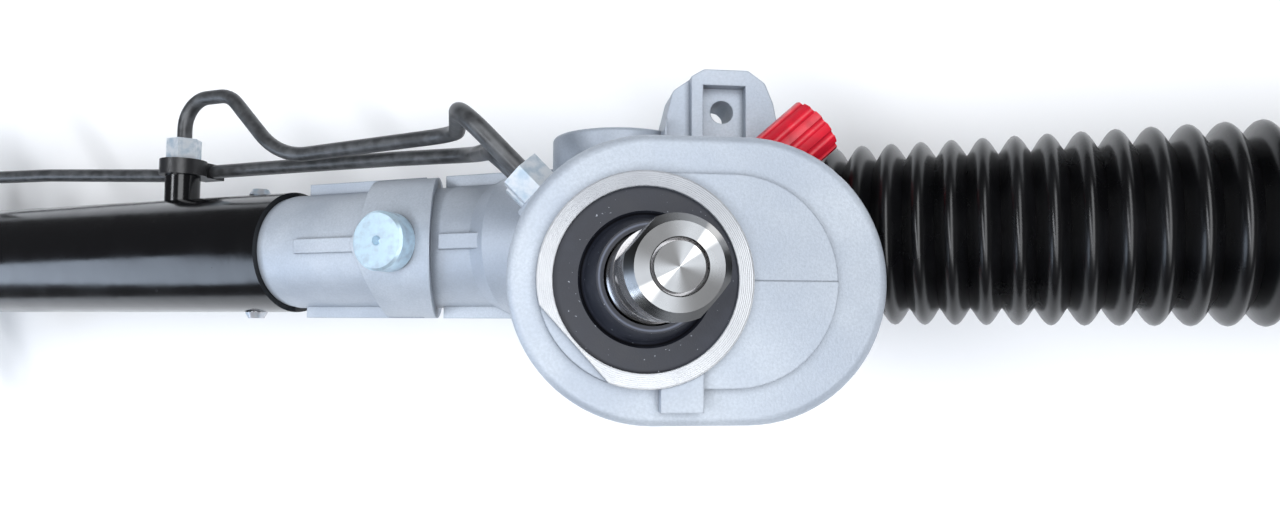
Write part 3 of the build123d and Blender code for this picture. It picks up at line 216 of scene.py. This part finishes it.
def platedZinc(name, colour=(0.54, 0.70, 0.80, 1)):
    f = Finish(name, Metallic=0.55)
    patch = f.noise(330, 3)
    base = f.mix(f.step(patch, 0.35, 0.75), colour, (0.38, 0.47, 0.55, 1))
    return f.feed(
        Base_Color=base,
        Roughness=f.step(patch, 0.3, 0.8, 0.28, 0.42),
        Normal=f.bump(f.noise(1800, 2), 0.00006, 0.3),
    )


# The shaft's end: painted fans of highlight and shade on its facing marks, and painted shade in the gap
# round the torsion bar
shaftFace = {"depth": 0.0026, "fade": 0.0002, "fanTurn": radians(42), "barGap": 0.0051, "gapHalf": 0.0003}


def turnedSteel(name, origin, turn, end=None):
    f = Finish(name, Metallic=1.0)
    x, y, h = f.about(tuple(origin), turn)
    radius = (x * x + y * y).maths("SQRT")
    facing = (radius * 26000).maths("SINE") * 0.6 + (radius * 11000).maths("SINE") * 0.4
    lathe = (h * 21000).maths("SINE") * 0.6 + (h * 8300).maths("SINE") * 0.4
    stain = f.noise(120, 4)
    base = f.mix(f.step(stain, 0.3, 0.75), (0.26, 0.25, 0.25, 1), (0.38, 0.38, 0.39, 1))
    if end is None:
        marks = lathe
    else:
        atEnd = f.step(h, end - shaftFace["depth"], end - shaftFace["depth"] + shaftFace["fade"])
        marks = facing * atEnd + lathe * (1 - atEnd)
        # painted highlight: a bright fan-shaped reflection across the end face, with painted shade in the
        # sectors between
        turnAngle = y.maths("ARCTAN2", x)
        fan = ((turnAngle - shaftFace["fanTurn"]) * 2).maths("COSINE")
        fanHighlight = f.step(fan + (turnAngle * 9).maths("SINE") * 0.05, 0.86, 1.02)
        fanShade = f.mix(f.step(fan, -0.9, 0.6), (0.07, 0.07, 0.07, 1), (0.17, 0.175, 0.18, 1))
        paintedFans = f.mix(fanHighlight, fanShade, (0.48, 0.47, 0.45, 1))
        base = f.mix(atEnd, base, paintedFans)
        # painted shade: a near-black ring in the gap round the torsion bar
        offGap = (radius - shaftFace["barGap"]).maths("ABSOLUTE")
        gapShade = f.step(offGap, shaftFace["gapHalf"], shaftFace["gapHalf"] * 1.5, 1.0, 0.0) * atEnd
        base = f.mix(gapShade, base, (0.004, 0.004, 0.004, 1))
    return f.feed(
        Base_Color=base,
        Roughness=f.step(stain, 0.25, 0.8, 0.2, 0.34),
        Normal=f.bump(marks, 0.000006, 0.35),
    )


def bootRubber(name, dusty=0.25):
    f = Finish(name, Metallic=0.0, Specular_IOR_Level=0.42)
    haze = f.noise(60, 4)
    specks = f.step(f.noise(1700, 2), 0.72, 0.8)
    base = f.mix(f.step(haze, 0.4, 0.8, 0.0, dusty), (0.0022, 0.0022, 0.0026, 1), (0.012, 0.012, 0.014, 1))
    base = f.mix(specks * 0.2, base, (0.05, 0.05, 0.05, 1))
    return f.feed(
        Base_Color=base,
        Roughness=f.step(haze, 0.2, 0.8, 0.24, 0.33),
        Normal=f.bump(f.noise(900, 3), 0.00008, 0.2),
    )


coverMarks = {
    "crease": 0.0154,
    "creaseWidth": 0.0005,
    "lip": 0.0119,
    "lipWidth": 0.0004,
    "lipHeight": (0.080, 0.082),
}


def coverRubber(name):
    f = Finish(name, Metallic=0.0, Specular_IOR_Level=0.4)
    haze = f.noise(150, 4)
    specks = f.step(f.noise(1300, 1), 0.74, 0.79)
    base = f.mix(f.step(haze, 0.3, 0.8), (0.012, 0.014, 0.022, 1), (0.026, 0.029, 0.040, 1))
    base = f.mix(specks, base, (0.30, 0.32, 0.36, 1))
    x, y, h = f.about(tuple(pinionFoot), shaftTurn)
    radius = (x * x + y * y).maths("SQRT")
    # painted shade: a near-black ring along the cover's crease
    offCrease = (radius - coverMarks["crease"]).maths("ABSOLUTE")
    creaseShade = f.step(offCrease, 0.0, coverMarks["creaseWidth"], 1.0, 0.0)
    # painted highlight: a light bluish ring along the edge of the cover's lip
    offLip = (radius - coverMarks["lip"]).maths("ABSOLUTE")
    lip = f.step(offLip, 0.0, coverMarks["lipWidth"], 1.0, 0.0) * f.step(h, *coverMarks["lipHeight"])
    base = f.mix(creaseShade, base, (0.004, 0.004, 0.006, 1))
    base = f.mix(lip * 0.7, base, (0.16, 0.18, 0.24, 1))
    return f.feed(
        Base_Color=base,
        Roughness=f.step(haze, 0.2, 0.8, 0.42, 0.55),
        Normal=f.bump(f.noise(2400, 2), 0.0001, 0.3),
    )


def mouldedPlastic(name, colour, rough=0.4):
    f = Finish(name, Metallic=0.0)
    haze = f.noise(300, 3)
    dark = (colour[0] * 0.7, colour[1] * 0.7, colour[2] * 0.7, 1)
    return f.feed(
        Base_Color=f.mix(f.step(haze, 0.3, 0.8), colour, dark),
        Roughness=f.step(haze, 0.2, 0.8, rough, rough + 0.12),
        Normal=f.bump(f.noise(1600, 2), 0.00008, 0.3),
    )


shaftEnd = 0.121
rackTurn = (0, -pi / 2, 0)
paints = {
    "castAluminium": castAluminium("castAluminium"),
    "tubePaint": glossPaint("tubePaint"),
    "bracketPaint": glossPaint("bracketPaint", rough=0.25),
    "coatedPipe": coatedPipe("coatedPipe"),
    "platedZinc": platedZinc("platedZinc"),
    "nutZinc": platedZinc("nutZinc", (0.72, 0.76, 0.80, 1)),
    "shaftSteel": turnedSteel("shaftSteel", pinionFoot, shaftTurn, shaftEnd),
    "rackSteel": turnedSteel("rackSteel", rackCentre, rackTurn),
    "clampSteel": platedZinc("clampSteel", (0.5, 0.5, 0.52, 1)),
    "bootRubber": bootRubber("bootRubber"),
    "coverRubber": coverRubber("coverRubber"),
    "sealRubber": bootRubber("sealRubber", 0.6),
    "clipPlastic": mouldedPlastic("clipPlastic", (0.012, 0.012, 0.013, 1), 0.3),
    "bearingPlastic": mouldedPlastic("bearingPlastic", (0.55, 0.52, 0.44, 1)),
    "redPlastic": mouldedPlastic("redPlastic", (0.60, 0.010, 0.028, 1), 0.32),
    "carrierAlloy": platedZinc("carrierAlloy", (0.6, 0.6, 0.62, 1)),
}
slotPaint = {
    "cast_aluminium": "castAluminium",
    "black_paint": "tubePaint",
    "pipe_paint": "coatedPipe",
    "zinc": "platedZinc",
    "clip_plastic": "clipPlastic",
    "turned_steel": "rackSteel",
    "bearing_steel": "rackSteel",
    "boot_rubber": "bootRubber",
    "seal_rubber": "sealRubber",
    "clamp_steel": "clampSteel",
    "bearing_plastic": "bearingPlastic",
    "carrier_alloy": "carrierAlloy",
    "red_plastic": "redPlastic",
}
nodePaint = {
    "input_shaft": "shaftSteel",
    "torsion_bar": "shaftSteel",
    "pinion": "shaftSteel",
    "valve_sleeve": "shaftSteel",
    "dust_cover": "coverRubber",
    "mount_bracket": "bracketPaint",
    "flare_nuts": "nutZinc",
    "stake_pins": "clampSteel",
}


def paintNodes():
    slots = {entry["node"]: entry["material_slot"] for entry in frame["record"]["subparts"]}
    for name, obj in nodes.items():
        paint = paints[nodePaint.get(name, slotPaint[slots[name]])]
        obj.data.materials.clear()
        obj.data.materials.append(paint)


paintNodes()
print("nodes painted")


# Modelling helpers
def clearSelection():
    if bpy.context.object and bpy.context.object.mode != "OBJECT":
        bpy.ops.object.mode_set(mode="OBJECT")
    bpy.ops.object.select_all(action="DESELECT")


def choose(obj):
    clearSelection()
    obj.select_set(True)
    bpy.context.view_layer.objects.active = obj


def named(name):
    obj = bpy.context.object
    obj.name = name
    obj.data.name = name
    return obj


def applyPlace(obj):
    choose(obj)
    bpy.ops.object.transform_apply(location=True, rotation=True, scale=True)


def smooth(obj, angle=35):
    choose(obj)
    bpy.ops.object.shade_smooth_by_angle(angle=radians(angle))


# Boots: rings extruded along the rack, in three zones
bootShape = {
    "crest": 25.3,
    "valley": 20.7,
    "wall": 0.7,
    "pitch": 7.9,
    "folds": 22,
    "cuffLength": 14.0,
    "cuffWall": 2.2,
    "cuffFit": 0.05,
    "cuffEdge": 0.5,
    "cuffEase": (2.5, 1.0, 0.3),
    "firstValley": 1.2,
    "tailLength": 12.0,
    "tailRadius": 10.25,
    "tailBore": 8.1,
    "tailEase": ((0.4, 17.0), (0.9, 12.25), (1.8, 10.25)),
    "steps": 10,
    "sides": 72,
    "zoneFolds": (14, 2, 6),
    "crestWidth": 0.58,
}


def foldRadius(s, share):  # share of one fold, from valley to valley
    swell = 0.5 - 0.5 * cos(2 * pi * share)
    return s["valley"] + (s["crest"] - s["valley"]) * swell ** s["crestWidth"]


def bootProfile(s, neckRadius):
    cuffRadius = neckRadius + s["cuffWall"]
    easeFrom, easeTo, easeDrop = s["cuffEase"]
    zones = [[], [], []]
    zones[0] += [(0.0, neckRadius + s["cuffFit"]), (0.0, cuffRadius - s["cuffEdge"])]
    zones[0].append((s["cuffEdge"], cuffRadius))
    zones[0] += [(s["cuffLength"] - easeFrom, cuffRadius), (s["cuffLength"] - easeTo, cuffRadius - easeDrop)]
    fold = 0
    start = s["cuffLength"]
    for zone, count in enumerate(s["zoneFolds"]):
        for _ in range(count):
            for step in range(s["steps"] + 1):
                if step == 0 and (zone > 0 or fold > 0) and zones[zone]:
                    continue
                share = step / s["steps"]
                radius = foldRadius(s, share)
                if fold == 0 and share < 0.5:
                    radius = max(radius, cuffRadius - s["firstValley"])
                zones[zone].append((start + (fold + share) * s["pitch"], radius))
            fold += 1
    end = start + s["folds"] * s["pitch"]
    tail = s["tailRadius"]
    finish = end + s["tailLength"]
    zones[2] += [(end + along, radius) for along, radius in s["tailEase"]]
    zones[2] += [(finish - s["cuffEdge"], tail), (finish, tail - s["cuffEdge"]), (finish, s["tailBore"])]
    return zones


def ringTube(name, profile, start, outward, sides):
    clearSelection()
    x, radius = profile[0]
    bpy.ops.mesh.primitive_circle_add(
        vertices=sides,
        radius=radius / 1000,
        location=onRack(start + outward * x),
        rotation=(0, pi / 2, 0),
    )
    obj = named(name)
    applyPlace(obj)
    bpy.ops.object.mode_set(mode="EDIT")
    bpy.ops.mesh.select_all(action="SELECT")
    for nextX, nextRadius in profile[1:]:
        shift = outward * (nextX - x) / 1000
        bpy.ops.mesh.extrude_region_move(TRANSFORM_OT_translate={"value": (shift, 0, 0)})
        grow = nextRadius / radius
        bpy.ops.transform.resize(value=(1, grow, grow))
        x, radius = nextX, nextRadius
    bpy.ops.mesh.select_all(action="SELECT")
    bpy.ops.mesh.normals_make_consistent(inside=False)
    bpy.ops.object.mode_set(mode="OBJECT")
    return obj


def outwardNormals(obj, centreLine):
    mesh = obj.data
    total = 0.0
    for face in mesh.polygons:
        radial = Vector((0, face.center.y - centreLine.y, face.center.z - centreLine.z))
        total += face.normal.dot(radial)
    if total < 0:
        choose(obj)
        bpy.ops.object.mode_set(mode="EDIT")
        bpy.ops.mesh.select_all(action="SELECT")
        bpy.ops.mesh.flip_normals()
        bpy.ops.object.mode_set(mode="OBJECT")


def thicken(obj, millimetres):
    wall = obj.modifiers.new("wall", "SOLIDIFY")
    wall.thickness = millimetres / 1000
    wall.offset = -1
    choose(obj)
    bpy.ops.object.modifier_apply(modifier="wall")


bootEnds = {
    "right": {"start": 50.0, "outward": 1, "neck": 19.0, "node": "boot_right"},
    "left": {"start": -416.0, "outward": -1, "neck": 22.0, "node": "boot_left"},
}


def makeBoot(side, s, end):
    zones = bootProfile(s, end["neck"])
    foldStart = s["cuffLength"]
    bounds = [10.0]
    total = 0
    for count in s["zoneFolds"]:
        total += count
        bounds.append(foldStart + total * s["pitch"])
    pieces = []
    for index, profile in enumerate(zones):
        if index:
            profile = [pieces[-1][1]] + [point for point in profile if point[0] > pieces[-1][1][0] + 0.01]
        obj = ringTube(f"boot_{side}_{index + 1}", profile, end["start"], end["outward"], s["sides"])
        outwardNormals(obj, rackCentre)
        thicken(obj, s["wall"])
        smooth(obj, 60)
        obj.data.materials.append(paints["bootRubber"])
        low, high = bounds[index], bounds[index + 1]
        if index == 2:
            high = bounds[3] - 1.0
        tuple(onRack(end["start"] + end["outward"] * low))
        tuple(onRack(end["start"] + end["outward"] * high))
        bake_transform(obj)
        pieces.append((obj, profile[-1]))
    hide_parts(end["node"])


for side, end in bootEnds.items():
    makeBoot(side, bootShape, end)
print("boots made")


# Backdrop, floor and light
stageSettings = {
    "floorLevel": -0.075,
    "floorSize": 4.0,
    "skyColour": (0.93, 0.95, 1.0, 1),
    "skyStrength": 0.1,
}


def addStage(s):
    clearSelection()
    bpy.ops.mesh.primitive_plane_add(size=s["floorSize"], location=(0, 0, s["floorLevel"]))
    floor = named("floor")
    applyPlace(floor)
    f = Finish("floorPaint", Roughness=0.9, Specular_IOR_Level=0.1)
    shade = f.noise(3, 2)
    base = f.mix(f.step(shade, 0.2, 0.8), (0.9, 0.9, 0.9, 1), (0.93, 0.93, 0.93, 1))
    floor.data.materials.append(f.feed(Base_Color=base))


lamps = {
    "skyStrip": {
        "place": (0.85, -0.04, 1.45),
        "aim": (0, -0.04, 0),
        "size": (2.8, 1.0),
        "power": 40,
        "colour": (0.95, 0.97, 1.0),
    },
    "farWindow": {
        "place": (-1.4, -0.62, 0.78),
        "aim": (-0.27, -0.04, 0),
        "size": (0.9, 0.75),
        "power": 10,
        "colour": (0.70, 0.82, 1.0),
    },
    "leftFill": {
        "place": (-0.35, -0.3, 1.5),
        "aim": (-0.05, -0.04, 0),
        "size": (1.6, 0.3),
        "power": 17,
        "colour": (0.92, 0.95, 1.0),
    },
}


def addLamp(name, s):
    data = bpy.data.lights.new(name, "AREA")
    data.shape = "RECTANGLE"
    data.size, data.size_y = s["size"]
    data.energy = s["power"]
    data.color = s["colour"]
    lamp = bpy.data.objects.new(name, data)
    bpy.context.scene.collection.objects.link(lamp)
    lamp.location = s["place"]
    lamp.rotation_euler = (Vector(s["aim"]) - Vector(s["place"])).to_track_quat("-Z", "Y").to_euler()


addStage(stageSettings)
for name, settings in lamps.items():
    addLamp(name, settings)
world = bpy.data.worlds.new("studio")
world.use_nodes = True
world.node_tree.nodes["Background"].inputs["Color"].default_value = stageSettings["skyColour"]
world.node_tree.nodes["Background"].inputs["Strength"].default_value = stageSettings["skyStrength"]
bpy.context.scene.world = world
bpy.context.scene.view_settings.view_transform = "Standard"
print("stage and lamps set")
